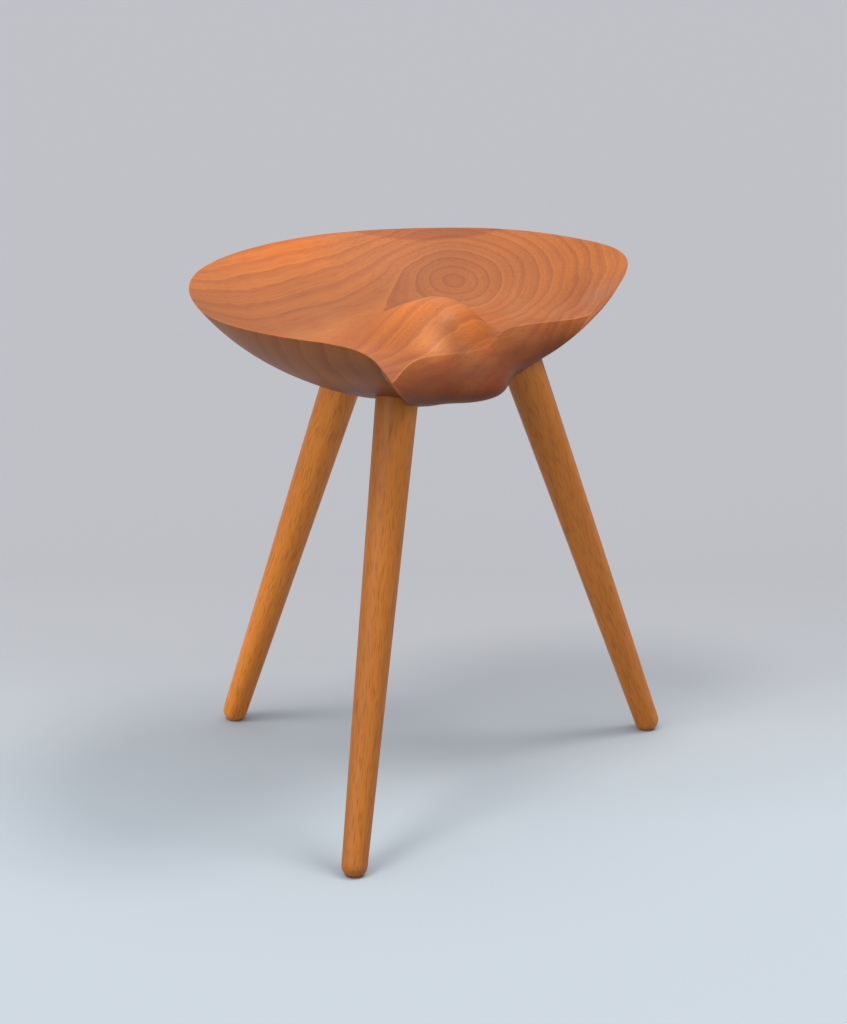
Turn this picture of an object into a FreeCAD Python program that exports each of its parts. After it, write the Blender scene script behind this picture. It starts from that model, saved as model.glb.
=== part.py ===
import FreeCAD, Part
import math
import os

# Three-legged sculpted stool: one carved seat on three splayed, tapered round legs.
# Millimetres, +Z up, the floor at z = 0.  +X is the sitter's right hand side seen from the front,
# -Y is the front of the seat (the rounded pommel between the two thigh channels).
# Half outlines are given for x >= 0 and mirrored.  All of it is drawn about the upright axis in
# which the three leg axes meet, and moved at the end so that the bounding box is centred on x = y = 0.

V = FreeCAD.Vector

# ---------------------------------------------------------------- driving dimensions
SEAT_TOP = 490.0              # level rim of the back and of the wings
BELLY_Z = 385.0               # lowest point of the seat
BELLY_Y = 3.0                 # where the belly is lowest
DISH_Y = 80.0                 # centre of the dish, where the top grid closes

FRONT_FOOT = (235.0, -100.5)  # where the front leg axes meet the floor
BACK_FOOT = (0.0, 246.8)      # where the back leg axis meets the floor
FRONT_LEAN = (0.3492, -0.1489)  # run per rise of a front leg axis
BACK_LEAN = (0.0, 0.3869)     # run per rise of the back leg axis
FOOT_RADIUS = 12.0            # rounded foot end
LEG_RADIUS = 19.4             # leg radius at LEG_RADIUS_Z, straight taper between the two
LEG_RADIUS_Z = 396.0
FOOT_FLAT = 7.0               # radius of the flat worn on each foot
LEG_TOP_Z = 430.0             # the taper is drawn to here, then cut to the seat's underside
TENON_RADIUS = 11.0           # blind tenon, in one with the leg
FRONT_TENON_Z = 424.0         # where the tenon ends, on the leg's axis
BACK_TENON_Z = 428.0

# rim of the seat, back centre to pommel centre: x, y, z
RIM = [
    (0, 217, 490), (49, 212, 490), (94, 197.5, 490), (131, 175.5, 490), (162, 149, 490),
    (188, 120, 490), (209, 90.5, 490), (223, 58, 490), (229.5, 26, 490), (230.5, -7, 490),
    (227.5, -37, 490), (220, -63, 489), (208.5, -83, 484.5), (196, -91, 476), (182.5, -91.5, 464.5),
    (169, -88, 451), (155, -81, 441.5), (140, -73.5, 438.5), (124, -66, 438.5), (107, -58, 439),
    (89, -51, 439.5), (73, -48, 440), (58, -49, 440), (43, -53, 439), (28, -58.5, 437.5),
    (14, -63.5, 437), (0, -65.5, 437),
]

# outer face: at a rim point (by its place in RIM) the way that the face leaves the rim, and the
# plan place of the handle that rounds it into the belly
OUTER = [
    (0, (0, -16, -46), (0, 134)),
    (5, (-22, -18, -33), (94, 86)),
    (9, (-20, -3, -35), (115, 6)),
    (12, (-26, 0, -33), (94, -34)),
    (14, (-32, 6, -26), (88, -44)),
    (16, (-24, 0, -21), (82, -52)),
    (18, (-6, -9, -27), (76, -60)),
    (20, (1, -26, -33), (68, -74)),
    (22, (4, -26, -37), (50, -82)),
    (24, (2, -26, -42), (28, -100)),
    (26, (0, -32, -41), (0, -110)),
]

# top face: the same two handles, in plan, for the way that the grid runs to the dish's centre
INNER = [
    (0, (0, -36), (0, 142)),
    (5, (-30, -22), (72, 126)),
    (9, (-42, 6), (112, 92)),
    (12, (-18, 34), (108, 72)),
    (14, (-2, 40), (98, 64)),
    (16, (2, 40), (84, 58)),
    (18, (2, 38), (68, 52)),
    (20, (0, 36), (48, 50)),
    (22, (-4, 36), (32, 48)),
    (24, (-2, 38), (16, 44)),
    (26, (0, 38), (0, 42)),
]

# heights of the top inside the rim: pommel, thigh channels, wings, back (x, y, z), x > 0 mirrored
TOP = [
    (0, -55, 452), (0, -40, 469), (0, -18, 476.5), (0, 8, 471.5), (0, 35, 461),
    (0, 62, 450), (0, 90, 445), (0, 125, 450), (0, 160, 464), (0, 188, 478),
    (20, -40, 464), (20, 8, 471), (38, -36, 454), (40, -10, 458), (38, 18, 455), (36, 50, 444),
    (58, -34, 442), (60, -8, 441), (60, 22, 438), (58, 55, 437), (56, 92, 441), (58, 130, 452),
    (58, 166, 469), (90, -32, 439), (90, -4, 437), (90, 26, 436), (92, 60, 437), (94, 98, 445),
    (96, 138, 462), (120, -42, 438), (122, -16, 437), (124, 14, 438), (126, 48, 442), (130, 86, 452),
    (132, 122, 467), (154, -57, 449), (152, -30, 443), (156, 8, 447), (158, 48, 454), (162, 90, 468),
    (168, -66, 459), (180, -30, 458), (186, 8, 464), (188, 48, 472), (184, -73, 470), (208, -42, 478),
]

COLUMNS = 128                 # poles round the seat
OUTER_ROWS = 16
INNER_ROWS = 16


# ---------------------------------------------------------------- curves through points
def mirrored(points):
    """The closed loop from half a loop that starts and ends on x = 0."""
    back = [(-p[0],) + tuple(p[1:]) for p in reversed(points[1:-1])]
    return list(points) + back


def loop_parameters(points):
    """Running parameter of a closed loop, the square root of each chord added up."""
    total = [0.0]
    for i in range(len(points)):
        a = points[i]
        b = points[(i + 1) % len(points)]
        total.append(total[-1] + math.sqrt(math.dist(a, b)))
    return total


def loop_value(values, params, u):
    """Cubic Hermite value, at parameter u, of a closed loop of tuples."""
    n = len(values)
    span = params[-1]
    u = u % span
    k = 0
    while k < n - 1 and params[k + 1] <= u:
        k += 1

    def at(i):
        return values[i % n], params[i % n] + span * (i // n)

    def slope(i, d):
        p0, u0 = at(i - 1)
        p1, u1 = at(i)
        p2, u2 = at(i + 1)
        left = (p1[d] - p0[d]) / (u1 - u0)
        right = (p2[d] - p1[d]) / (u2 - u1)
        return (left * (u2 - u1) + right * (u1 - u0)) / (u2 - u0)

    a, ua = at(k)
    b, ub = at(k + 1)
    h = ub - ua
    t = (u - ua) / h
    out = []
    for d in range(len(a)):
        m0 = slope(k, d) * h
        m1 = slope(k + 1, d) * h
        v = (2 * t**3 - 3 * t**2 + 1) * a[d] + (t**3 - 2 * t**2 + t) * m0
        v += (3 * t**2 - 2 * t**3) * b[d] + (t**3 - t**2) * m1
        out.append(v)
    return tuple(out)


def handles(stations, params, u):
    """Handle vectors at parameter u, between the stations, flat at each of them."""
    half = params[-1] / 2.0
    w = u % params[-1]
    side = 1.0
    if w > half:
        w = params[-1] - w
        side = -1.0
    marks = [params[s[0]] for s in stations]
    k = 0
    while k < len(marks) - 2 and marks[k + 1] <= w:
        k += 1
    t = (w - marks[k]) / (marks[k + 1] - marks[k])
    t = min(max(t, 0.0), 1.0)
    t = t * t * (3 - 2 * t) * 0.5 + t * 0.5
    out = []
    for part in (1, 2):
        a = stations[k][part]
        b = stations[k + 1][part]
        mixed = [a[d] + (b[d] - a[d]) * t for d in range(len(a))]
        mixed[0] *= side
        out.append(mixed)
    return out


def smooth_rows(rows, passes):
    """Evens out the handles round the loop."""
    n = len(rows)
    for _ in range(passes):
        mixed = []
        for i in range(n):
            a = rows[i - 1]
            b = rows[i]
            c = rows[(i + 1) % n]
            mixed.append([(a[d] + 2 * b[d] + c[d]) / 4 for d in range(len(b))])
        rows = mixed
    return rows


def bezier(p0, p1, p2, p3, t):
    s = 1 - t
    return [
        s**3 * p0[d] + 3 * t * s * s * p1[d] + 3 * t * t * s * p2[d] + t**3 * p3[d]
        for d in range(len(p0))
    ]


# ---------------------------------------------------------------- height of the top
def plate_kernel(x, y):
    q = x * x + y * y
    return 0.0 if q < 1e-9 else 0.5 * q * math.log(q)


def solve(matrix, rhs):
    """Gaussian elimination with row exchange."""
    n = len(rhs)
    rows = [list(matrix[i]) + [rhs[i]] for i in range(n)]
    for c in range(n):
        best = max(range(c, n), key=lambda i: abs(rows[i][c]))
        rows[c], rows[best] = rows[best], rows[c]
        for i in range(c + 1, n):
            f = rows[i][c] / rows[c][c]
            if f:
                for j in range(c, n + 1):
                    rows[i][j] -= f * rows[c][j]
    out = [0.0] * n
    for i in range(n - 1, -1, -1):
        done = sum(rows[i][j] * out[j] for j in range(i + 1, n))
        out[i] = (rows[i][n] - done) / rows[i][i]
    return out


def bent_plate(knots, stiffness):
    """A thin plate bent through the knots; returns its height function."""
    n = len(knots)
    matrix = []
    rhs = []
    for i in range(n):
        xi, yi, zi = knots[i]
        row = [plate_kernel(xi - knots[j][0], yi - knots[j][1]) for j in range(n)]
        row[i] += stiffness
        matrix.append(row + [1.0, xi, yi])
        rhs.append(zi)
    matrix.append([1.0] * n + [0.0] * 3)
    matrix.append([k[0] for k in knots] + [0.0] * 3)
    matrix.append([k[1] for k in knots] + [0.0] * 3)
    w = solve(matrix, rhs + [0.0] * 3)

    def height(x, y):
        z = w[n] + w[n + 1] * x + w[n + 2] * y
        for j in range(n):
            z += w[j] * plate_kernel(x - knots[j][0], y - knots[j][1])
        return z

    return height


# ---------------------------------------------------------------- B-spline surfaces
def clamped_basis(i, u, knots):
    """The four cubic basis values that begin at pole i, for u inside knot span i + 3."""
    values = [1.0, 0.0, 0.0, 0.0]
    span = i + 3
    for d in range(1, 4):
        saved = 0.0
        for r in range(d):
            right = knots[span + r + 1] - u
            left = u - knots[span + 1 - d + r]
            temp = values[r] / (right + left)
            values[r] = saved + right * temp
            saved = left * temp
        values[d] = saved
    return values


def fitted_poles(grid):
    """Poles of a cubic surface through grid[column][row], closed round the columns."""
    cols = len(grid)
    rows = len(grid[0])
    spans = rows - 3
    knots = [0.0] * 3 + [float(k) for k in range(spans + 1)] + [float(spans)] * 3
    weights = []
    for j in range(rows):
        u = (knots[j + 1] + knots[j + 2] + knots[j + 3]) / 3.0
        i = min(int(u), spans - 1)
        weights.append((i, clamped_basis(i, u, knots)))
    poles = [[list(p) for p in column] for column in grid]
    for _ in range(40):
        ring = []
        for i in range(cols):
            a = poles[i - 1]
            b = poles[i]
            c = poles[(i + 1) % cols]
            ring.append([
                [(a[j][d] + 4 * b[j][d] + c[j][d]) / 6 for d in range(3)] for j in range(rows)
            ])
        for i in range(cols):
            for j in range(rows):
                first, w = weights[j]
                for d in range(3):
                    value = sum(w[k] * ring[i][first + k][d] for k in range(4))
                    poles[i][j][d] += grid[i][j][d] - value
    return poles


def closed_surface(grid):
    poles = fitted_poles(grid)
    cols = len(poles)
    rows = len(poles[0])
    spans = rows - 3
    surface = Part.BSplineSurface()
    surface.buildFromPolesMultsKnots(
        [[V(*p) for p in column] for column in poles],
        [1] * (cols + 1),
        [4] + [1] * (spans - 1) + [4],
        [float(k) for k in range(cols + 1)],
        [float(k) for k in range(spans + 1)],
        True, False, 3, 3,
    )
    return surface


def row_parameters(rows, last):
    """Places of the rows between 0 and last, at the abscissae that the knots ask for."""
    spans = rows - 3
    knots = [0.0] * 3 + [float(k) for k in range(spans + 1)] + [float(spans)] * 3
    return [last * (knots[j + 1] + knots[j + 2] + knots[j + 3]) / 3.0 / spans for j in range(rows)]


# ---------------------------------------------------------------- the seat
def seat_grids():
    loop = mirrored(RIM)
    params = loop_parameters(loop)
    us = [params[-1] * i / COLUMNS for i in range(COLUMNS)]
    rim = [loop_value(loop, params, u) for u in us]
    outer = smooth_rows([sum(handles(OUTER, params, u), []) for u in us], 6)
    inner = smooth_rows([sum(handles(INNER, params, u), []) for u in us], 6)
    knots = [p for p in loop]
    for x, y, z in TOP:
        knots.append((x, y, z))
        if x > 0:
            knots.append((-x, y, z))
    height = bent_plate(knots, 30.0)

    outer_grid = []
    for i in range(COLUMNS):
        r = rim[i]
        h = outer[i]
        p1 = (r[0] + h[0], r[1] + h[1], r[2] + h[2])
        p2 = (h[3], h[4], BELLY_Z)
        p3 = (0.0, BELLY_Y, BELLY_Z)
        column = [bezier(r, p1, p2, p3, t) for t in row_parameters(OUTER_ROWS, 0.975)]
        column[-1][2] = BELLY_Z
        column[-2][2] = min(column[-2][2], BELLY_Z + 0.05)
        outer_grid.append(column)

    centre_z = height(0.0, DISH_Y)
    inner_grid = []
    for i in range(COLUMNS):
        r = rim[i]
        h = inner[i]
        p1 = (r[0] + h[0], r[1] + h[1])
        p2 = (h[2], h[3])
        p3 = (0.0, DISH_Y)
        lift = r[2] - height(r[0], r[1])
        column = []
        for t in row_parameters(INNER_ROWS, 0.985):
            x, y = bezier(r[:2], p1, p2, p3, t)
            z = height(x, y) + lift * max(0.0, 1 - 4 * t) ** 2
            column.append([x, y, z])
        column[0] = list(r)
        column[-1][2] = centre_z
        inner_grid.append(column)
    return outer_grid, inner_grid, height


def end_cap(face, z):
    """Flat face over the small hole that a closed surface leaves at its centre."""
    small = [e for e in face.Edges if e.isClosed() and abs(e.CenterOfMass.z - z) < 1.0]
    small.sort(key=lambda e: e.Length)
    return Part.Face(Part.Wire([small[0]]))


def make_seat():
    outer_grid, inner_grid, height = seat_grids()
    outer = closed_surface(outer_grid).toShape()
    inner = closed_surface(inner_grid).toShape()
    faces = [outer, inner, end_cap(outer, BELLY_Z), end_cap(inner, height(0.0, DISH_Y))]
    shell = Part.Shell(Part.makeShell(faces).Faces)
    shell.sewShape()
    solid = Part.Solid(shell)
    if solid.Volume < 0:
        solid.reverse()
    return solid, height


# ---------------------------------------------------------------- the legs
def leg_axis(foot, lean):
    """Start of the taper at the foot, and the unit axis that runs up and inwards."""
    end_z = math.sqrt(FOOT_RADIUS**2 - FOOT_FLAT**2)
    start = V(foot[0] - lean[0] * end_z, foot[1] - lean[1] * end_z, end_z)
    return start, V(-lean[0], -lean[1], 1).normalize()


def along(lean, rise):
    """Length along a slanted axis for a rise in height."""
    return rise * math.sqrt(1 + lean[0] ** 2 + lean[1] ** 2)


def make_taper(foot, lean):
    """A turned leg on its own slanted axis: rounded foot and straight taper."""
    start, axis = leg_axis(foot, lean)
    half_angle = math.atan((LEG_RADIUS - FOOT_RADIUS) / along(lean, LEG_RADIUS_Z - start.z))
    top = along(lean, LEG_TOP_Z - start.z)
    r_low = FOOT_RADIUS * math.cos(half_angle)
    h_low = -FOOT_RADIUS * math.sin(half_angle)
    r_top = r_low + (top - h_low) * math.tan(half_angle)
    mid = (math.pi / 2 + half_angle) / 2
    tip = V(0, 0, -FOOT_RADIUS)
    low = V(r_low, 0, h_low)
    bow = V(FOOT_RADIUS * math.sin(mid), 0, -FOOT_RADIUS * math.cos(mid))
    edges = [
        Part.Arc(tip, bow, low).toShape(),
        Part.makeLine(low, V(r_top, 0, top)),
        Part.makeLine(V(r_top, 0, top), V(0, 0, top)),
        Part.makeLine(V(0, 0, top), tip),
    ]
    leg = Part.Face(Part.Wire(edges)).revolve(V(0, 0, 0), V(0, 0, 1), 360)
    leg.Placement = FreeCAD.Placement(start, FreeCAD.Rotation(V(0, 0, 1), axis))
    floor = Part.makeBox(900, 900, 60, V(-450, -450, -60))
    return leg.cut(floor)


def make_tenon(foot, lean, end_z):
    """The round tenon, drawn from inside the leg up to its blind end."""
    start, axis = leg_axis(foot, lean)
    low = start + axis * along(lean, end_z - 60 - start.z)
    return Part.makeCylinder(TENON_RADIUS, along(lean, 60), low, axis)


def make_leg(foot, lean, tenon_z, seat):
    """The leg with its shoulder cut to the seat's underside, and its tenon."""
    taper = make_taper(foot, lean)
    pieces = taper.cut(seat).Solids
    body = min(pieces, key=lambda p: p.BoundBox.ZMin)
    leg = body.fuse(make_tenon(foot, lean, tenon_z)).removeSplitter()
    return leg.Solids[0]


def centre_shift():
    """Brings the middle of the feet's span in y to y = 0."""
    end_z = math.sqrt(FOOT_RADIUS**2 - FOOT_FLAT**2)
    front = FRONT_FOOT[1] - FRONT_LEAN[1] * end_z - FOOT_RADIUS
    back = BACK_FOOT[1] - BACK_LEAN[1] * end_z + FOOT_RADIUS
    return V(0, -(front + back) / 2, 0)


def main():
    os.makedirs("parts", exist_ok=True)
    seat, height = make_seat()
    left_foot = (-FRONT_FOOT[0], FRONT_FOOT[1])
    left_lean = (-FRONT_LEAN[0], FRONT_LEAN[1])
    legs = {
        "front_right_leg": make_leg(FRONT_FOOT, FRONT_LEAN, FRONT_TENON_Z, seat),
        "front_left_leg": make_leg(left_foot, left_lean, FRONT_TENON_Z, seat),
        "back_leg": make_leg(BACK_FOOT, BACK_LEAN, BACK_TENON_Z, seat),
    }
    seat = seat.cut(make_tenon(FRONT_FOOT, FRONT_LEAN, FRONT_TENON_Z))
    seat = seat.cut(make_tenon(left_foot, left_lean, FRONT_TENON_Z))
    seat = seat.cut(make_tenon(BACK_FOOT, BACK_LEAN, BACK_TENON_Z))
    pieces = {"seat": seat}
    pieces.update(legs)
    shift = centre_shift()
    print("shift", shift)
    for name, shape in pieces.items():
        moved = shape.copy()
        moved.translate(shift)
        solids = moved.Solids
        box = moved.BoundBox
        print(name, "valid", moved.isValid(), "solids", len(solids), "volume", round(moved.Volume),
              "x %.1f %.1f y %.1f %.1f z %.1f %.1f" % (
                  box.XMin, box.XMax, box.YMin, box.YMax, box.ZMin, box.ZMax))
        solids[0].exportStep("parts/" + name + ".step")


main()
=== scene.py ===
import math

import bpy
import numpy as np
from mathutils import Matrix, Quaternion, Vector


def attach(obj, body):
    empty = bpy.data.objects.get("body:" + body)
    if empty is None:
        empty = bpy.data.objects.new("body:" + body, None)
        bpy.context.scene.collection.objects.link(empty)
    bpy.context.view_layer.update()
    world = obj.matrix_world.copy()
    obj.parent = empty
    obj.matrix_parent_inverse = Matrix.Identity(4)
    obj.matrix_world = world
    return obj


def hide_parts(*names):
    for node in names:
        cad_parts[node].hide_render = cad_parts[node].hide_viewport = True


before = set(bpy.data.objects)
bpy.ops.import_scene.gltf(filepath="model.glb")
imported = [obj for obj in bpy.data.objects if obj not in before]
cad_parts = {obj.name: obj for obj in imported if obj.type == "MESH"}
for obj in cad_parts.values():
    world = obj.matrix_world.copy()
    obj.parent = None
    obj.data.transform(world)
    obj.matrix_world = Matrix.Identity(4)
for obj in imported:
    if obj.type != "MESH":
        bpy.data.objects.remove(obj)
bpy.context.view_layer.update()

# Lengths of the seat and legs are millimetres in the drawing frame, whose upright axis is where the
# legs' own axes come together; MM and SHIFT bring them to metres in the row frame.
MM = 0.001
SHIFT = np.array([0.0, -71.990, 0.0])

# ---------------------------------------------------------------- seat: the CAD part's shape values
BELLY_Z = 385.0
BELLY_Y = 3.0
DISH_Y = 80.0

# The rim's points run from the middle of the back round the right side to the pommel. For some of them
# OUTER and INNER hold the step in which the surface leaves the rim, and the place that draws it on towards
# the belly or the dish. TOP holds heights inside the rim, on the right half of the seat.
RIM = [
    (0, 217, 490), (49, 212, 490), (94, 197.5, 490), (131, 175.5, 490), (162, 149, 490),
    (188, 120, 490), (209, 90.5, 490), (223, 58, 490), (229.5, 26, 490), (230.5, -7, 490),
    (227.5, -37, 490), (220, -63, 489), (208.5, -83, 484.5), (196, -91, 476), (182.5, -91.5, 464.5),
    (169, -88, 451), (155, -81, 441.5), (140, -73.5, 438.5), (124, -66, 438.5), (107, -58, 439),
    (89, -51, 439.5), (73, -48, 440), (58, -49, 440), (43, -53, 439), (28, -58.5, 437.5),
    (14, -63.5, 437), (0, -65.5, 437),
]
OUTER = [
    (0, (0, -16, -46), (0, 134)),
    (5, (-22, -18, -33), (94, 86)),
    (9, (-20, -3, -35), (115, 6)),
    (12, (-26, 0, -33), (94, -34)),
    (14, (-32, 6, -26), (88, -44)),
    (16, (-24, 0, -21), (82, -52)),
    (18, (-6, -9, -27), (76, -60)),
    (20, (1, -26, -33), (68, -74)),
    (22, (4, -26, -37), (50, -82)),
    (24, (2, -26, -42), (28, -100)),
    (26, (0, -32, -41), (0, -110)),
]
INNER = [
    (0, (0, -36), (0, 142)),
    (5, (-30, -22), (72, 126)),
    (9, (-42, 6), (112, 92)),
    (12, (-18, 34), (108, 72)),
    (14, (-2, 40), (98, 64)),
    (16, (2, 40), (84, 58)),
    (18, (2, 38), (68, 52)),
    (20, (0, 36), (48, 50)),
    (22, (-4, 36), (32, 48)),
    (24, (-2, 38), (16, 44)),
    (26, (0, 38), (0, 42)),
]
TOP = [
    (0, -55, 452), (0, -40, 469), (0, -18, 476.5), (0, 8, 471.5), (0, 35, 461),
    (0, 62, 450), (0, 90, 445), (0, 125, 450), (0, 160, 464), (0, 188, 478),
    (20, -40, 464), (20, 8, 471), (38, -36, 454), (40, -10, 458), (38, 18, 455), (36, 50, 444),
    (58, -34, 442), (60, -8, 441), (60, 22, 438), (58, 55, 437), (56, 92, 441), (58, 130, 452),
    (58, 166, 469), (90, -32, 439), (90, -4, 437), (90, 26, 436), (92, 60, 437), (94, 98, 445),
    (96, 138, 462), (120, -42, 438), (122, -16, 437), (124, 14, 438), (126, 48, 442), (130, 86, 452),
    (132, 122, 467), (154, -57, 449), (152, -30, 443), (156, 8, 447), (158, 48, 454), (162, 90, 468),
    (168, -66, 459), (180, -30, 458), (186, 8, 464), (188, 48, 472), (184, -73, 470), (208, -42, 478),
]

COLUMNS = 512
ROWS = 110
ROW_EVENNESS = 0.2
HANDLE_PASSES = int(6 * (COLUMNS / 128) ** 2)
PLATE_STIFFNESS = 30.0
ARRIS_PASSES = 16
ARRIS_ROWS = 12
ARRIS_WIDTH = ROWS / 36
TINY = 1e-9


def mirrored(points):
    back = [(-p[0],) + tuple(p[1:]) for p in reversed(points[1:-1])]
    return list(points) + back


def loop_parameters(points):
    total = [0.0]
    for i in range(len(points)):
        total.append(total[-1] + math.sqrt(math.dist(points[i], points[(i + 1) % len(points)])))
    return total


def loop_value(values, params, u):
    """Cubic Hermite value, at parameter u, of a closed loop of tuples."""
    n = len(values)
    span = params[-1]
    u = u % span
    k = 0
    while k < n - 1 and params[k + 1] <= u:
        k += 1

    def at(i):
        return np.array(values[i % n], float), params[i % n] + span * (i // n)

    def slope(i):
        p0, u0 = at(i - 1)
        p1, u1 = at(i)
        p2, u2 = at(i + 1)
        left = (p1 - p0) / (u1 - u0)
        right = (p2 - p1) / (u2 - u1)
        return (left * (u2 - u1) + right * (u1 - u0)) / (u2 - u0)

    a, ua = at(k)
    b, ub = at(k + 1)
    h = ub - ua
    t = (u - ua) / h
    return (
        (2 * t**3 - 3 * t**2 + 1) * a
        + (t**3 - 2 * t**2 + t) * h * slope(k)
        + (3 * t**2 - 2 * t**3) * b
        + (t**3 - t**2) * h * slope(k + 1)
    )


def handles(stations, params, u):
    """The stations' values at rim parameter u, mirrored on the left half of the seat."""
    half = params[-1] / 2.0
    w = u % params[-1]
    side = 1.0
    if w > half:
        w = params[-1] - w
        side = -1.0
    marks = [params[s[0]] for s in stations]
    k = 0
    while k < len(marks) - 2 and marks[k + 1] <= w:
        k += 1
    t = min(max((w - marks[k]) / (marks[k + 1] - marks[k]), 0.0), 1.0)
    # halfway between a straight and an eased blend
    t = t * t * (3 - 2 * t) * 0.5 + t * 0.5
    out = []
    for part in (1, 2):
        a = np.array(stations[k][part], float)
        b = np.array(stations[k + 1][part], float)
        mixed = a + (b - a) * t
        mixed[0] *= side
        out.append(mixed)
    return np.concatenate(out)


def smooth_loop(rows, passes):
    for _ in range(passes):
        rows = (np.roll(rows, 1, 0) + 2 * rows + np.roll(rows, -1, 0)) / 4
    return rows


def plate_kernel(q):
    return np.where(q < TINY, 0.0, 0.5 * q * np.log(np.maximum(q, TINY)))


def bent_plate(knots, stiffness):
    """A thin plate bent close to the knots; returns its height function."""
    p = np.array(knots, float)
    n = len(p)
    d = p[:, None, :2] - p[None, :, :2]
    m = np.zeros((n + 3, n + 3))
    m[:n, :n] = plate_kernel((d**2).sum(-1)) + stiffness * np.eye(n)
    m[:n, n] = m[n, :n] = 1
    m[:n, n + 1:] = p[:, :2]
    m[n + 1:, :n] = p[:, :2].T
    w = np.linalg.solve(m, np.concatenate([p[:, 2], np.zeros(3)]))

    def height(x, y):
        x = np.asarray(x, float)
        y = np.asarray(y, float)
        z = w[n] + w[n + 1] * x + w[n + 2] * y
        for j in range(n):
            z = z + w[j] * plate_kernel((x - p[j, 0]) ** 2 + (y - p[j, 1]) ** 2)
        return z

    return height


def bezier(p0, p1, p2, p3, t):
    s = 1 - t
    return s**3 * p0 + 3 * t * s * s * p1 + 3 * t * t * s * p2 + t**3 * p3


def seat_grid():
    """Closed grid of the seat: rows run from the dish's centre over the rim to the belly's centre."""
    loop = mirrored(RIM)
    params = loop_parameters(loop)
    us = [params[-1] * i / COLUMNS for i in range(COLUMNS)]
    rim = np.array([loop_value(loop, params, u) for u in us])
    outer = smooth_loop(np.array([handles(OUTER, params, u) for u in us]), HANDLE_PASSES)
    inner = smooth_loop(np.array([handles(INNER, params, u) for u in us]), HANDLE_PASSES)
    knots = list(loop)
    for x, y, z in TOP:
        knots.append((x, y, z))
        if x > 0:
            knots.append((-x, y, z))
    height = bent_plate(knots, PLATE_STIFFNESS)

    # rows stand closer together near the rim
    t = np.linspace(0, 1, ROWS + 1)
    t = ROW_EVENNESS * t + (1 - ROW_EVENNESS) * t**2
    rows = []
    # the plate only comes close to the rim: the rest of the way fades out over the nearest quarter
    lift = rim[:, 2] - height(rim[:, 0], rim[:, 1])
    centre = np.array([0.0, DISH_Y])
    for k in t[:0:-1]:
        plan = bezier(rim[:, :2], rim[:, :2] + inner[:, :2], inner[:, 2:], centre, k)
        z = height(plan[:, 0], plan[:, 1]) + lift * max(0.0, 1 - 4 * k) ** 2
        rows.append(np.column_stack([plan, z]))
    middle = len(rows)
    rows.append(rim.copy())
    flat = np.column_stack([outer[:, 3:], np.full(COLUMNS, BELLY_Z)])
    belly = np.array([0.0, BELLY_Y, BELLY_Z])
    for k in t[1:]:
        rows.append(bezier(rim, rim + outer[:, :3], flat, belly, k))
    grid = np.array(rows)
    # the rim's arris is eased by hand: average along each column, close to the rim only
    for _ in range(ARRIS_PASSES):
        near = grid[middle - ARRIS_ROWS: middle + ARRIS_ROWS + 1]
        near[1:-1] = (near[:-2] + 2 * near[1:-1] + near[2:]) / 4
    return grid


def skin(rings, sides):
    """Faces of a closed tube of rings; its first and last points cap the two ends."""
    faces = []
    for j in range(sides):
        faces.append((0, 1 + (j + 1) % sides, 1 + j))
    for i in range(rings - 1):
        a = 1 + i * sides
        b = a + sides
        for j in range(sides):
            k = (j + 1) % sides
            faces.append((a + j, a + k, b + k, b + j))
    last = 1 + rings * sides
    a = last - sides
    for j in range(sides):
        faces.append((last, a + j, a + (j + 1) % sides))
    return faces


def smooth_mesh(name, points, faces):
    mesh = bpy.data.meshes.new(name)
    mesh.from_pydata(points, [], faces)
    mesh.update()
    for polygon in mesh.polygons:
        polygon.use_smooth = True
    return mesh


def seat_mesh(name):
    """The seat's grid as a mesh; its first and last rows have shrunk to a point each."""
    grid = seat_grid()
    rows, columns = grid.shape[:2]
    points = np.vstack([grid[0].mean(0), grid[1:-1].reshape(-1, 3), grid[-1].mean(0)])
    points = (points + SHIFT) * MM
    mesh = smooth_mesh(name, [tuple(p) for p in points], skin(rows - 2, columns))
    # how close each point is to the arris, for the material's painted highlight along the edge
    closeness = [math.exp(-(((i - ROWS) / ARRIS_WIDTH) ** 2)) for i in range(rows)]
    values = [closeness[0]]
    for i in range(1, rows - 1):
        values.extend([closeness[i]] * columns)
    values.append(closeness[-1])
    mesh.attributes.new("arris", "FLOAT", "POINT").data.foreach_set("value", values)
    return mesh


def add(name, mesh):
    piece = bpy.data.objects.new(name, mesh)
    bpy.context.scene.collection.objects.link(piece)
    return piece


# ---------------------------------------------------------------- legs
FRONT_FOOT = (235.0, -100.5)
LEFT_FOOT = (-FRONT_FOOT[0], FRONT_FOOT[1])
BACK_FOOT = (0.0, 246.8)
FRONT_LEAN = (0.3492, -0.1489)
LEFT_LEAN = (-FRONT_LEAN[0], FRONT_LEAN[1])
BACK_LEAN = (0.0, 0.3869)
FRONT_TOP_Z = 424.0
BACK_TOP_Z = 418.0
FOOT_RADIUS = 11.95
FOOT_FLAT = 7.0
FOOT_CENTRE_Z = math.sqrt(FOOT_RADIUS**2 - FOOT_FLAT**2)
LEG_RADIUS = 19.4
LEG_RADIUS_Z = 396.0
LEG_SIDES = 96
FOOT_RINGS = 24
LEG_RINGS = 60


def leg_axis(lean):
    return Vector((-lean[0], -lean[1], 1)).normalized()


def foot_point(foot, lean):
    """Centre of the rounded foot, in metres in the row frame."""
    centre_x = foot[0] - lean[0] * FOOT_CENTRE_Z
    centre_y = foot[1] - lean[1] * FOOT_CENTRE_Z
    return (Vector((centre_x, centre_y, FOOT_CENTRE_Z)) + Vector(SHIFT)) * MM


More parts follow.
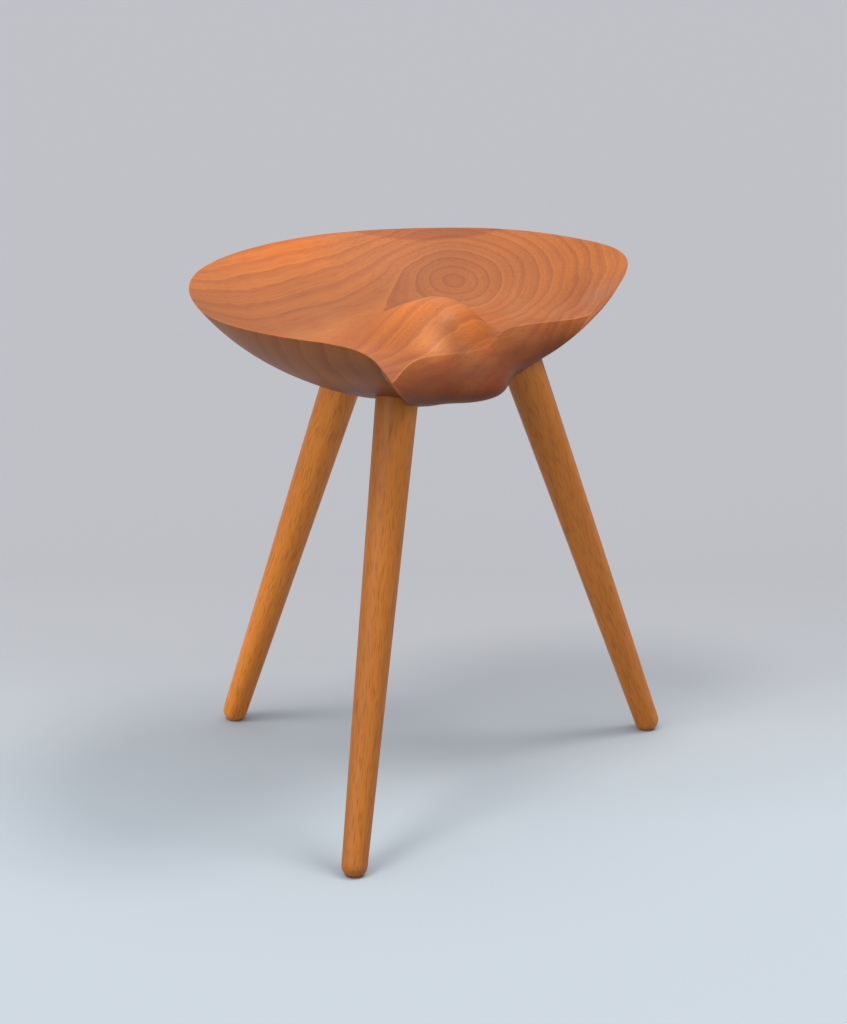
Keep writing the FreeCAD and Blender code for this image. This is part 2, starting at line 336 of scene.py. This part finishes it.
def leg_profile(lean, top_z):
    """Radius and height of each ring, from the rounded foot up to the top, about the leg's own axis."""
    stretch = math.sqrt(1 + lean[0] ** 2 + lean[1] ** 2)
    half_angle = math.atan((LEG_RADIUS - FOOT_RADIUS) / ((LEG_RADIUS_Z - FOOT_CENTRE_Z) * stretch))
    top = (top_z - FOOT_CENTRE_Z) * stretch
    profile = []
    for k in range(1, FOOT_RINGS + 1):
        a = (math.pi / 2 - half_angle) * k / FOOT_RINGS
        profile.append((FOOT_RADIUS * math.sin(a), -FOOT_RADIUS * math.cos(a)))
    r_low, h_low = profile[-1]
    for k in range(1, LEG_RINGS + 1):
        h = h_low + (top - h_low) * k / LEG_RINGS
        profile.append((r_low + (h - h_low) * math.tan(half_angle), h))
    return profile


def make_leg(name, foot, lean, top_z):
    """A turned leg, tapered and rounded at the foot, leaning as it stands."""
    profile = leg_profile(lean, top_z)
    points = [(0.0, 0.0, -FOOT_RADIUS)]
    for r, h in profile:
        for j in range(LEG_SIDES):
            a = 2 * math.pi * j / LEG_SIDES
            points.append((r * math.cos(a), r * math.sin(a), h))
    points.append((0.0, 0.0, profile[-1][1]))
    turned = leg_axis(lean).to_track_quat("Z", "Y").to_matrix()
    start = foot_point(foot, lean)
    placed = []
    for p in points:
        at = start + turned @ (Vector(p) * MM)
        # the foot is worn flat where it stands
        placed.append((at.x, at.y, max(at.z, 0.0)))
    return add(name, smooth_mesh(name, placed, skin(len(profile), LEG_SIDES)))


# ---------------------------------------------------------------- materials
PLAIN = (1.0, 1.0, 1.0)
SHEEN = 0.25
COAT = 0.05
COAT_ROUGHNESS = 0.35
BUMP_DEPTH = 0.0004


class Value:
    """What a node gives out. Sums and products of values add the nodes that work them out."""

    def __init__(self, tree, socket):
        self.tree = tree
        self.socket = socket

    def __add__(self, other):
        return maths("ADD", self, other)

    def __sub__(self, other):
        return maths("SUBTRACT", self, other)

    def __mul__(self, other):
        return maths("MULTIPLY", self, other)


def feed(tree, slot, value):
    """Give a node's input a Value, a colour or a plain number."""
    if isinstance(value, Value):
        tree.links.new(value.socket, slot)
    elif isinstance(value, tuple):
        slot.default_value = (*value, 1.0)
    else:
        slot.default_value = value


def maths(operation, first, second=None):
    made = first.tree.nodes.new("ShaderNodeMath")
    made.operation = operation
    feed(first.tree, made.inputs[0], first)
    if second is not None:
        feed(first.tree, made.inputs[1], second)
    return Value(first.tree, made.outputs[0])


def squared(value):
    return value * value


def split(vector):
    """The x, y and z of a vector."""
    made = vector.tree.nodes.new("ShaderNodeSeparateXYZ")
    feed(vector.tree, made.inputs[0], vector)
    return [Value(vector.tree, out) for out in made.outputs]


def ramp(value, *stops):
    """Colours placed along a value that runs from 0 to 1."""
    made = value.tree.nodes.new("ShaderNodeValToRGB")
    while len(made.color_ramp.elements) < len(stops):
        made.color_ramp.elements.new(0.5)
    for element, (place, colour) in zip(made.color_ramp.elements, stops):
        element.position = place
        element.color = (*colour, 1.0)
    feed(value.tree, made.inputs["Fac"], value)
    return Value(value.tree, made.outputs["Color"])


def fade(value, start, end):
    """One colour up to 0, the other from 1 on."""
    return ramp(value, (0.0, start), (1.0, end))


def tinted(base, tint, amount=1.0):
    """The base multiplied by a tint, as far as the amount says."""
    made = base.tree.nodes.new("ShaderNodeMix")
    made.data_type = "RGBA"
    made.blend_type = "MULTIPLY"
    feed(base.tree, made.inputs[0], amount)
    feed(base.tree, made.inputs[6], base)
    feed(base.tree, made.inputs[7], tint)
    return Value(base.tree, made.outputs[2])


def noise(vector, scale, detail=2.0, roughness=0.5, location=(0, 0, 0)):
    """Soft noise, scaled by its own amount along each axis."""
    tree = vector.tree
    mapping = tree.nodes.new("ShaderNodeMapping")
    mapping.inputs["Scale"].default_value = scale
    mapping.inputs["Location"].default_value = location
    feed(tree, mapping.inputs["Vector"], vector)
    made = tree.nodes.new("ShaderNodeTexNoise")
    made.inputs["Scale"].default_value = 1.0
    made.inputs["Detail"].default_value = detail
    made.inputs["Roughness"].default_value = roughness
    tree.links.new(mapping.outputs["Vector"], made.inputs["Vector"])
    return Value(tree, made.outputs["Fac"])


def new_material(name):
    """An empty material and the object's own coordinates in it, in metres."""
    material = bpy.data.materials.new(name)
    material.use_nodes = True
    tree = material.node_tree
    tree.nodes.clear()
    coords = tree.nodes.new("ShaderNodeTexCoord").outputs["Object"]
    return material, Value(tree, coords)


def surface(colour, roughness, sheen):
    """A plain surface of this colour, as the material's output; returns its shader."""
    tree = colour.tree
    shader = tree.nodes.new("ShaderNodeBsdfPrincipled")
    feed(tree, shader.inputs["Base Color"], colour)
    shader.inputs["Roughness"].default_value = roughness
    shader.inputs["Specular IOR Level"].default_value = sheen
    out = tree.nodes.new("ShaderNodeOutputMaterial")
    tree.links.new(shader.outputs["BSDF"], out.inputs["Surface"])
    return shader


def oiled(colour, relief, roughness, strength):
    """Wood with a thin coat of oil and a fine relief."""
    tree = colour.tree
    shader = surface(colour, roughness, SHEEN)
    shader.inputs["Coat Weight"].default_value = COAT
    shader.inputs["Coat Roughness"].default_value = COAT_ROUGHNESS
    bump = tree.nodes.new("ShaderNodeBump")
    bump.inputs["Strength"].default_value = strength
    bump.inputs["Distance"].default_value = BUMP_DEPTH
    feed(tree, bump.inputs["Height"], relief)
    tree.links.new(bump.outputs["Normal"], shader.inputs["Normal"])


# ---------------------------------------------------------------- the seat's wood
# Places are in metres in the row frame. The heart of the rings is on the slope of the right wing.
RING_X = 0.140
RING_Y = 0.000
RING_Z = 0.457
RING_TILT = 0.39
RING_FLATNESS = 0.77
RING_SPREAD = 0.22
RING_TAIL = 0.039
WANDER_REACH = 0.022
DRIFT_REACH = 0.009
LAYERS_A_METRE = 104.0
# the layers show clearly above this height
LAYERS_Z = 0.424
# the front face, painted darker as shade, lies before FRONT_Y and below FRONT_Z
FRONT_Y = -0.098
FRONT_Z = 0.476
WARM_Y = 0.035
RIGHT_END_X = 0.150
ORANGE_X = 0.045
ORANGE_Y = 0.150
POMMEL_Y = -0.075
POMMEL_Z = 0.465
UNDER_Z = 0.420
MOTTLED_Z = 0.452
# painted shade: a strip below the rim whose lower edge is lowest at this place
STRIP_X = 0.168
STRIP_Y = 0.055
STRIP_Z = 0.4802
# the arris carries a painted highlight, most of all to the left of this place
ARRIS_HIGHLIGHT_X = -0.030
# painted light on the front of the pommel: centre, reach, tint. One is a pale painted reflection, one an
# amber painted patch of light.
POMMEL_LIGHT_PATCHES = (
    ((-0.045, -0.116, 0.447), 0.024, (1.50, 1.62, 1.85)),
    ((0.006, -0.128, 0.450), 0.034, (1.32, 1.22, 0.70)),
)
ARRIS_HIGHLIGHT_TINT = (1.65, 2.10, 2.80)


def layer_depth(coords, wander):
    """How far out each point lies from the heart of the rings, across the layers."""
    x, y, z = split(coords)
    drift = noise(coords, (22.0, 40.0, 40.0), location=(3, 1, 7))
    sway = (wander - 0.5) * WANDER_REACH + (drift - 0.5) * DRIFT_REACH
    along = x - RING_X
    left = maths("MINIMUM", along, 0.0)
    right = maths("MAXIMUM", along, 0.0)
    # to the left the layers spread out across the board
    spread = maths("TANH", left * 14.0) * RING_SPREAD + RING_FLATNESS
    across = (y - RING_Y + (z - RING_Z) * RING_TILT + sway) * spread
    # the inner rings close; to the left the outer ones open into long parallel lines
    length = right + maths("TANH", left * 25.0) * RING_TAIL
    return maths("SQRT", squared(across) + squared(length))


def layered(coords, depth, fibre):
    """The wood's colour with its growth layers, thin lines and fibre."""
    tree = coords.tree
    z = split(coords)[2]
    patch = noise(coords, (6.0, 11.0, 11.0))
    base = ramp(patch, (0.25, (0.268, 0.078, 0.011)), (0.75, (0.336, 0.101, 0.014)))
    # every layer starts with a thin pale line and darkens slowly to its end
    phase = depth * LAYERS_A_METRE
    ring = maths("FRACT", phase)
    pale = ramp(ring, (0.0, (1.16, 1.26, 1.40)), (0.12, (1.04, 1.06, 1.10)), (0.30, PLAIN),
                (1.0, (0.78, 0.70, 0.66)))
    # the layers show on the top and fade below the rim, where the cut runs along them
    on_top = fade((z - LAYERS_Z) * 80.0, (0.15, 0.15, 0.15), (0.62, 0.62, 0.62))
    base = tinted(base, pale, on_top)
    # every layer has a tone of its own
    own = tree.nodes.new("ShaderNodeTexWhiteNoise")
    own.noise_dimensions = "1D"
    feed(tree, own.inputs["W"], maths("FLOOR", phase))
    base = tinted(base, (0.84, 0.76, 0.70), Value(tree, own.outputs["Value"]) * 0.35)
    thin = tree.nodes.new("ShaderNodeTexNoise")
    thin.noise_dimensions = "1D"
    thin.inputs["Scale"].default_value = 300.0
    thin.inputs["Detail"].default_value = 2.0
    feed(tree, thin.inputs["W"], depth)
    lines = ramp(Value(tree, thin.outputs["Fac"]), (0.36, (0.76, 0.66, 0.58)), (0.62, (1.04, 1.04, 1.04)))
    base = tinted(base, lines, 0.36)
    return tinted(base, ramp(fibre, (0.36, (0.5, 0.4, 0.33)), (0.5, PLAIN)), 0.30)


def toned(base, coords, depth, wander):
    """Broad changes of colour from place to place, with painted shade on the front and lower faces and a
    painted highlight on the pommel.
    """
    x, y, z = split(coords)
    # the heart of the rings is a darker red
    base = tinted(base, fade(depth * 13.0, (0.82, 0.77, 0.84), PLAIN))
    # painted shade: the front face is painted darker than the top
    front_shade = maths("MINIMUM", (y - FRONT_Y) * -28.0, (z - FRONT_Z) * -50.0)
    base = tinted(base, fade(front_shade, PLAIN, (0.80, 0.74, 0.80)))
    # the colour is made warmer and brighter towards the back, and warmer at the right end
    base = tinted(base, fade((y - WARM_Y) * 14.0, PLAIN, (1.21, 1.12, 0.92)))
    base = tinted(base, fade((x - RIGHT_END_X) * 16.0, PLAIN, (0.99, 0.92, 0.76)))
    # a clear orange patch below the back rim
    from_patch = squared((x - ORANGE_X) * 12.0) + squared((y - ORANGE_Y) * 22.0) + wander * 0.8
    base = tinted(base, ramp(from_patch * 0.55, (0.25, (1.19, 1.05, 0.22)), (1.0, PLAIN)))
    # painted highlight: the top of the pommel is painted paler, where light falls on its crest
    from_pommel = squared(x) + squared(y - POMMEL_Y) + squared((z - POMMEL_Z) * 1.6)
    pommel_highlight = ramp(from_pommel * 170.0, (0.0, (1.56, 1.47, 1.24)), (0.3, (1.36, 1.30, 1.16)),
                (0.6, (1.15, 1.13, 1.07)), (1.0, PLAIN))
    base = tinted(base, pommel_highlight)
    # painted shade: the lower faces are painted a darker red brown
    base = tinted(base, fade((z - UNDER_Z) * 60.0, (0.60, 0.50, 0.50), PLAIN))
    # the low parts are mottled: redder patches of tone and greyer patches of painted reflection from the
    # pale floor
    mottle = noise(coords, (30.0, 30.0, 38.0), location=(5, 2, 1))
    tone_and_reflection_spots = ramp(mottle, (0.36, (1.08, 0.90, 0.72)), (0.62, (1.06, 1.14, 1.26)))
    low_face = fade((z - MOTTLED_Z) * -60.0, (0, 0, 0), PLAIN)
    return tinted(base, tone_and_reflection_spots, low_face)


def paint_light_and_shade(base, coords):
    """Painted light: a painted reflection and a painted patch of light on the pommel's front, a painted
    highlight on the arris, and a strip of painted shade below the rim.
    """
    tree = coords.tree
    x, y, z = split(coords)
    # a painted reflection and a painted patch of light on the pommel's front
    for centre, reach, tint in POMMEL_LIGHT_PATCHES:
        away = tree.nodes.new("ShaderNodeVectorMath")
        away.operation = "DISTANCE"
        feed(tree, away.inputs[0], coords)
        away.inputs[1].default_value = centre
        distance = maths("DIVIDE", Value(tree, away.outputs["Value"]), reach)
        base = tinted(base, ramp(distance, (0.25, tint), (1.0, PLAIN)))
    # painted shade: a lens-shaped strip below the rim, at the back of the right side, where the rim shades
    # the inner wall
    strip_low = (squared(x - STRIP_X) + squared(y - STRIP_Y)) * 1.6 + STRIP_Z
    base = tinted(base, fade((z - strip_low) * 700.0, PLAIN, (0.80, 0.70, 0.58)))
    # painted highlight: the arris is painted pale, mostly on the left
    edge = tree.nodes.new("ShaderNodeAttribute")
    edge.attribute_name = "arris"
    left_side = fade((x - ARRIS_HIGHLIGHT_X) * -15.0, (0.25, 0.25, 0.25), PLAIN)
    return tinted(base, ARRIS_HIGHLIGHT_TINT, Value(tree, edge.outputs["Fac"]) * left_side)


def seat_wood():
    """Carved board: growth layers that run along the seat and close in rings on its right side."""
    material, coords = new_material("seat_wood")
    wander = noise(coords, (9.0, 14.0, 14.0), detail=3.0)
    depth = layer_depth(coords, wander)
    fibre = noise(coords, (30.0, 700.0, 700.0), roughness=0.6)
    base = layered(coords, depth, fibre)
    base = toned(base, coords, depth, wander)
    base = paint_light_and_shade(base, coords)
    oiled(base, fibre, roughness=0.48, strength=0.10)
    return material


def leg_wood(name, foot, lean, seed, light_gain):
    """Turned wood with open pores along the leg."""
    material, coords = new_material(name)
    tree = coords.tree
    # the grain follows the leg's own axis
    own_frame = tree.nodes.new("ShaderNodeMapping")
    own_frame.vector_type = "TEXTURE"
    own_frame.inputs["Location"].default_value = foot_point(foot, lean)
    own_frame.inputs["Rotation"].default_value = leg_axis(lean).to_track_quat("Z", "Y").to_euler()
    feed(tree, own_frame.inputs["Vector"], coords)
    moved = tree.nodes.new("ShaderNodeMapping")
    moved.inputs["Location"].default_value = (seed, seed * 0.7, seed * 1.3)
    tree.links.new(own_frame.outputs["Vector"], moved.inputs["Vector"])
    along = Value(tree, moved.outputs["Vector"])
    tone = noise(along, (60.0, 60.0, 3.0), detail=3.0, roughness=0.55)
    pores = noise(along, (900.0, 900.0, 70.0), detail=1.0, roughness=0.4)
    fine = noise(along, (1800.0, 1800.0, 40.0), detail=1.0)
    base = ramp(tone, (0.3, (0.37, 0.112, 0.012)), (0.7, (0.47, 0.150, 0.018)))
    base = tinted(base, ramp(pores, (0.34, (0.36, 0.25, 0.18)), (0.46, PLAIN)), 0.40)
    base = tinted(base, ramp(fine, (0.3, (0.5, 0.42, 0.36)), (0.6, PLAIN)), 0.25)
    # painted light: the leg's whole colour is scaled to how bright it looks when lit
    base = tinted(base, (light_gain, light_gain, light_gain))
    oiled(base, pores, roughness=0.46, strength=0.12)
    return material


def floor_paper():
    """Matt grey paper, painted paler and bluer towards the front left as painted light, in place of the
    light's fall-off.
    """
    material, coords = new_material("floor_paper")
    x, y, _ = split(coords)
    near = x * -0.79 + y * -0.61
    sheet_with_painted_falloff = ramp(near * 0.9 + 0.5, (0.0, (0.242, 0.244, 0.258)), (0.25, (0.257, 0.264, 0.277)),
                 (0.45, (0.284, 0.304, 0.322)), (0.65, (0.300, 0.330, 0.357)), (1.0, (0.300, 0.330, 0.357)))
    surface(sheet_with_painted_falloff, roughness=0.9, sheen=0.1)
    return material


# ---------------------------------------------------------------- build
seat = add("carved_seat", seat_mesh("carved_seat"))
seat.data.materials.append(seat_wood())
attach(seat, "root")
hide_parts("seat")

# seed moves the grain within the leg; the last number is painted light, how much brighter or darker each
# leg's wood is made to match how it is lit
for cad_name, foot, lean, top_z, seed, light_gain in (
    ("front_right_leg", FRONT_FOOT, FRONT_LEAN, FRONT_TOP_Z, 1.86, 1.08),
    ("front_left_leg", LEFT_FOOT, LEFT_LEAN, FRONT_TOP_Z, 6.51, 0.88),
    ("back_leg", BACK_FOOT, BACK_LEAN, BACK_TOP_Z, 12.4, 1.48),
):
    leg = make_leg("turned_" + cad_name, foot, lean, top_z)
    leg.data.materials.append(leg_wood(cad_name + "_wood", foot, lean, seed, light_gain))
    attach(leg, "root")
    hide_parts(cad_name)

# ---------------------------------------------------------------- floor, lights, camera
FLOOR_HALF = 30
SKY_TOP = 1.62
SKY_WALL = 0.22
SKY_COLOUR = (0.90, 0.94, 1.0, 1)
LIGHT_COLOUR = (1.0, 0.97, 0.93)

ground = bpy.data.meshes.new("floor")
corners = [(x * FLOOR_HALF, y * FLOOR_HALF, 0) for x, y in ((-1, -1), (1, -1), (1, 1), (-1, 1))]
ground.from_pydata(corners, [], [(0, 1, 2, 3)])
floor = add("floor", ground)
floor.data.materials.append(floor_paper())

world = bpy.data.worlds.new("studio")
world.use_nodes = True
sky = world.node_tree
background = sky.nodes["Background"]
background.inputs["Color"].default_value = SKY_COLOUR
# a soft ceiling: brightest overhead, dim along the walls
height = split(Value(sky, sky.nodes.new("ShaderNodeTexCoord").outputs["Generated"]))[2]
glow = maths("POWER", maths("MAXIMUM", height, 0.0), 1.2) * SKY_TOP + SKY_WALL
feed(sky, background.inputs["Strength"], glow)
bpy.context.scene.world = world


def far_light(name, azimuth, elevation, spread, strength):
    """A soft light from far away. Azimuth 0 is in front (-Y), 90 is at +X; the angles are degrees."""
    a = math.radians(azimuth)
    e = math.radians(elevation)
    way = Vector((math.sin(a) * math.cos(e), -math.cos(a) * math.cos(e), math.sin(e)))
    data = bpy.data.lights.new(name, "SUN")
    data.angle = math.radians(spread)
    data.energy = strength
    data.color = LIGHT_COLOUR
    light = bpy.data.objects.new(name, data)
    light.rotation_euler = (-way).to_track_quat("-Z", "Y").to_euler()
    light.location = way * 3
    bpy.context.scene.collection.objects.link(light)


far_light("left_light", azimuth=-98, elevation=66, spread=16, strength=1.32)
far_light("front_light", azimuth=-5, elevation=64, spread=22, strength=0.18)
far_light("right_light", azimuth=43, elevation=68, spread=20, strength=1.52)
far_light("low_light", azimuth=-105, elevation=26, spread=40, strength=0.98)

EYE = Vector((-2.55949, -2.06824, 1.30763))
LOOK = Vector((0.750508, 0.586039, -0.305444))
ROLL = math.radians(-0.067)
camera_data = bpy.data.cameras.new("camera")
camera_data.lens = 126.69
camera_data.sensor_width = 36.0
camera_data.clip_end = 100
camera = bpy.data.objects.new("camera", camera_data)
camera.location = EYE
camera.rotation_mode = "QUATERNION"
camera.rotation_quaternion = LOOK.to_track_quat("-Z", "Y") @ Quaternion((0, 0, 1), ROLL)
bpy.context.scene.collection.objects.link(camera)
bpy.context.scene.camera = camera

bpy.context.scene.view_settings.view_transform = "Standard"
